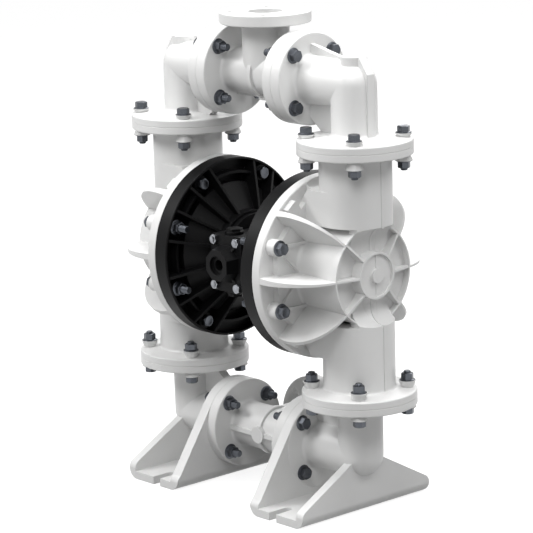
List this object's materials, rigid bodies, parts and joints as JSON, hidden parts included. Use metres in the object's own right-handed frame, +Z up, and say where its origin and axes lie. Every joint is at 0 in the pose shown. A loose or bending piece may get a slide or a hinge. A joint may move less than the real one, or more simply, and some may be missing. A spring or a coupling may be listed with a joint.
{
  "type": "air operated double diaphragm pump",
  "caption": "Air driven double diaphragm pump with flanged discharge above, suction behind, ball check columns and slotted feet.",
  "frame": {"origin": "on the floor, centred under the pump, midway between the two liquid columns", "axes": "+X along the connecting rod to the right-hand diaphragm, +Y to the suction flange at the rear, +Z up"},
  "size_m": [0.7906, 0.407, 1.065],
  "materials": {
    "white_plastic": "satin, moulded",
    "black_plastic": "satin, moulded",
    "bush_plastic": "turned",
    "inner_plastic": "moulded",
    "black_rubber": "moulded",
    "ball_rubber": "ground",
    "bright_steel": "ground",
    "cast_plate": "as cast",
    "dark_steel": "dark blue-grey coating"
  },
  "bodies": {
    "housing": {"discharge_tee": "white_plastic", "suction_tee": "white_plastic", "discharge_elbow_right": "white_plastic", "discharge_elbow_left": "white_plastic", "foot_elbow_right": "white_plastic", "foot_elbow_left": "white_plastic", "fluid_cap_right": "white_plastic", "fluid_cap_left": "white_plastic", "air_cap_right": "black_plastic", "air_cap_left": "black_plastic", "centre_body": "black_plastic", "air_valve_body": "black_plastic", "valve_end_caps": "black_plastic", "muffler": "black_plastic", "rod_bush_right": "bush_plastic", "rod_bush_left": "bush_plastic", "diaphragm_right": "black_rubber", "diaphragm_left": "black_rubber", "discharge_seat_right": "inner_plastic", "discharge_seat_left": "inner_plastic", "suction_seat_right": "inner_plastic", "suction_seat_left": "inner_plastic", "discharge_cage_right": "inner_plastic", "discharge_cage_left": "inner_plastic", "suction_cage_right": "inner_plastic", "suction_cage_left": "inner_plastic", "manifold_seals": "black_rubber", "column_bolts_upper": "dark_steel", "column_bolts_lower": "dark_steel", "column_nuts_upper": "dark_steel", "column_nuts_lower": "dark_steel", "manifold_bolts_upper": "dark_steel", "manifold_bolts_lower": "dark_steel", "manifold_nuts_upper": "dark_steel", "manifold_nuts_lower": "dark_steel", "rim_bolts": "dark_steel", "rim_nuts": "dark_steel", "rim_cap_screws": "dark_steel", "valve_body_screws": "dark_steel"},
    "drive": {"connecting_rod": "bright_steel", "inner_plate_right": "cast_plate", "inner_plate_left": "cast_plate", "outer_plate_right": "inner_plastic", "outer_plate_left": "inner_plastic", "rod_end_nut_right": "bright_steel", "rod_end_nut_left": "bright_steel"},
    "main_spool": {"valve_spool": "bright_steel"},
    "pilot": {"pilot_spool": "bright_steel"},
    "discharge_ball_right": {"discharge_ball_right": "ball_rubber"},
    "discharge_ball_left": {"discharge_ball_left": "ball_rubber"},
    "suction_ball_right": {"suction_ball_right": "ball_rubber"},
    "suction_ball_left": {"suction_ball_left": "ball_rubber"}
  },
  "joints": [
    {"name": "rod_slide", "type": "slide", "parent": "housing", "child": "drive", "axis": [1, 0, 0], "range_m": [-0.04, 0.04], "deforming": ["diaphragm_right", "diaphragm_left"]},
    {"name": "main_spool_slide", "type": "slide", "parent": "housing", "child": "main_spool", "axis": [0, 0, 1], "range_m": [-0.01, 0.01]},
    {"name": "pilot_slide", "type": "slide", "parent": "housing", "child": "pilot", "axis": [1, 0, 0], "range_m": [-0.006, 0.006]},
    {"name": "discharge_ball_right_lift", "type": "slide", "parent": "housing", "child": "discharge_ball_right", "axis": [0, 0, 1], "range_m": [0, 0.02]},
    {"name": "discharge_ball_left_lift", "type": "slide", "parent": "housing", "child": "discharge_ball_left", "axis": [0, 0, 1], "range_m": [0, 0.02]},
    {"name": "suction_ball_right_lift", "type": "slide", "parent": "housing", "child": "suction_ball_right", "axis": [0, 0, 1], "range_m": [0, 0.02]},
    {"name": "suction_ball_left_lift", "type": "slide", "parent": "housing", "child": "suction_ball_left", "axis": [0, 0, 1], "range_m": [0, 0.02]}
  ]
}
